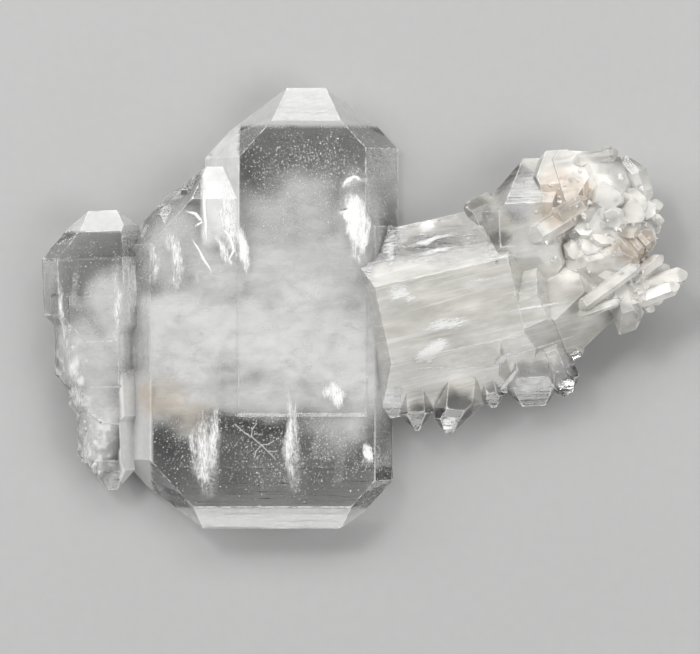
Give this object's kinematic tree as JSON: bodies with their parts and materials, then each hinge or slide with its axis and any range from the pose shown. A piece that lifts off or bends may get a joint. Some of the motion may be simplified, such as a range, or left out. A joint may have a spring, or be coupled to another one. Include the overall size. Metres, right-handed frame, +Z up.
{
  "type": "faden quartz cluster",
  "caption": "Clear, tabular quartz crystals grown side by side with a milky band through them, lying flat, with a leaning milky arm that ends in a crown and spray of small crystals.",
  "frame": {"origin": "on the surface that the cluster lies on, below the middle of its outline", "axes": "+X along the row of crystals, from the blades to the spray, +Y along the broad blades' c axis, +Z up off the surface"},
  "size_m": [0.0712, 0.0486, 0.0126],
  "materials": {
    "quartz": "polished natural faces, clear in the blades, milky in the band, the arm and the crown"
  },
  "bodies": {
    "root": {"quartz_cluster": "quartz"}
  },
  "joints": []
}
